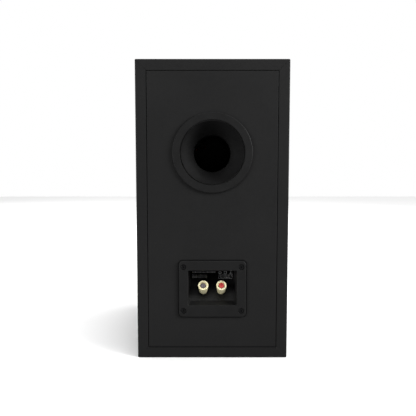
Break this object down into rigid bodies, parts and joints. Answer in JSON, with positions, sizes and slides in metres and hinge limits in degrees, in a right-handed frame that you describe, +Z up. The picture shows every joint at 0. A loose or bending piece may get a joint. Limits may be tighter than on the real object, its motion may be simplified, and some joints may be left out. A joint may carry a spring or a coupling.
{
  "type": "bookshelf speaker",
  "caption": "Black box loudspeaker with mitred cabinet, flared rear port, recessed gold binding posts, cone woofer and dome tweeter, and a crossover inside.",
  "frame": {"origin": "centre of the footprint, on the underside of the cabinet that it stands on", "axes": "+Z up, -Y out of the front baffle, +Y out of the rear panel, X across, the object symmetric about X = 0 apart from its leads, screws and inner parts"},
  "size_m": [0.155, 0.2072, 0.305],
  "materials": {
    "black_vinyl": "fine-grained black vinyl wrap over fibreboard, satin",
    "black_paint": "satin black paint over fibreboard",
    "black_plastic": "moulded black plastic, fine satin texture",
    "card_tube": "dyed card tube, matt",
    "black_steel": "black oxide and powder coat, satin",
    "gold_plate": "gold-plated brass, polished",
    "red_plastic": "red plastic, satin gloss",
    "grey_plastic": "dark grey plastic, satin gloss",
    "zinc_steel": "zinc-plated steel",
    "ferrite": "sintered ferrite, dark grey",
    "rubber": "moulded butyl rubber, matt",
    "cone_paper": "pressed paper pulp, dark grey, matt",
    "spider_cloth": "resin-dipped woven cloth, corrugated",
    "copper_wire": "enamelled copper winding",
    "dome_silk": "coated silk dome, soft sheen",
    "board_fibre": "brown fibre board",
    "capacitor_film": "yellow film wrap",
    "ceramic": "white cement body",
    "wadding": "polyester wadding, off-white",
    "red_sheath": "red wire sheath",
    "black_sheath": "black wire sheath"
  },
  "bodies": {
    "cabinet": {"left_side_panel": "black_vinyl", "right_side_panel": "black_vinyl", "top_panel": "black_vinyl", "bottom_panel": "black_vinyl", "rear_panel": "black_vinyl", "front_baffle": "black_paint", "port_flare": "black_plastic", "terminal_cup": "black_plastic", "tweeter_faceplate": "black_plastic", "port_tube": "card_tube", "terminal_screw_1": "black_steel", "terminal_screw_2": "black_steel", "terminal_screw_3": "black_steel", "terminal_screw_4": "black_steel", "woofer_screw_1": "black_steel", "woofer_screw_2": "black_steel", "woofer_screw_3": "black_steel", "woofer_screw_4": "black_steel", "tweeter_screw_1": "black_steel", "tweeter_screw_2": "black_steel", "tweeter_screw_3": "black_steel", "woofer_basket": "black_steel", "negative_stud": "gold_plate", "negative_solder_lug": "zinc_steel", "negative_stud_nut": "zinc_steel", "positive_stud": "gold_plate", "positive_solder_lug": "zinc_steel", "positive_stud_nut": "zinc_steel", "woofer_surround": "rubber", "woofer_inductor": "copper_wire", "tweeter_inductor": "copper_wire", "woofer_spider": "spider_cloth", "woofer_top_plate": "zinc_steel", "tweeter_top_plate": "zinc_steel", "woofer_yoke": "black_steel", "tweeter_yoke": "black_steel", "woofer_magnet": "ferrite", "tweeter_magnet": "ferrite", "woofer_terminal_strip": "board_fibre", "crossover_board": "board_fibre", "crossover_capacitor": "capacitor_film", "crossover_resistor": "ceramic", "negative_input_lead": "black_sheath", "woofer_negative_lead": "black_sheath", "tweeter_negative_lead": "black_sheath", "positive_input_lead": "red_sheath", "woofer_positive_lead": "red_sheath", "tweeter_positive_lead": "red_sheath", "wadding_pad": "wadding"},
    "woofer_moving": {"woofer_cone": "cone_paper", "woofer_dust_cap": "cone_paper", "woofer_voice_coil": "copper_wire"},
    "tweeter_moving": {"tweeter_dome": "dome_silk", "tweeter_voice_coil": "copper_wire"},
    "negative_clamp": {"negative_clamp_washer": "gold_plate"},
    "negative_knob": {"negative_knob": "gold_plate"},
    "negative_cap": {"negative_banana_cap": "grey_plastic"},
    "positive_clamp": {"positive_clamp_washer": "gold_plate"},
    "positive_knob": {"positive_knob": "gold_plate"},
    "positive_cap": {"positive_banana_cap": "red_plastic"}
  },
  "joints": [
    {"name": "woofer_cone_travel", "type": "slide", "parent": "cabinet", "child": "woofer_moving", "axis": [0, -1, 0], "range_m": [-0.004, 0.004], "stiffness_N_per_m": 1000, "deforming": ["woofer_surround", "woofer_spider"]},
    {"name": "tweeter_dome_travel", "type": "slide", "parent": "cabinet", "child": "tweeter_moving", "axis": [0, -1, 0], "range_m": [-0.0003, 0.0003], "stiffness_N_per_m": 4000},
    {"name": "negative_clamp_slide", "type": "slide", "parent": "cabinet", "child": "negative_clamp", "axis": [0, 0.788, 0.6157], "range_m": [0, 0.006]},
    {"name": "negative_knob_turn", "type": "hinge", "parent": "negative_clamp", "child": "negative_knob", "pos_m": [0.0095, 0.085, 0.06656], "axis": [0, 0.788, 0.6157], "range_deg": [0, 2700]},
    {"name": "negative_cap_pull", "type": "slide", "parent": "cabinet", "child": "negative_cap", "axis": [0, 0.788, 0.6157], "range_m": [0, 0.02]},
    {"name": "positive_clamp_slide", "type": "slide", "parent": "cabinet", "child": "positive_clamp", "axis": [0, 0.788, 0.6157], "range_m": [0, 0.006]},
    {"name": "positive_knob_turn", "type": "hinge", "parent": "positive_clamp", "child": "positive_knob", "pos_m": [-0.0095, 0.085, 0.06656], "axis": [0, 0.788, 0.6157], "range_deg": [0, 2700]},
    {"name": "positive_cap_pull", "type": "slide", "parent": "cabinet", "child": "positive_cap", "axis": [0, 0.788, 0.6157], "range_m": [0, 0.02]}
  ],
  "couplings": [
    {"joint": "negative_clamp_slide", "follows": "negative_knob_turn", "m_per_rad": 0.00012732},
    {"joint": "positive_clamp_slide", "follows": "positive_knob_turn", "m_per_rad": 0.00012732}
  ]
}
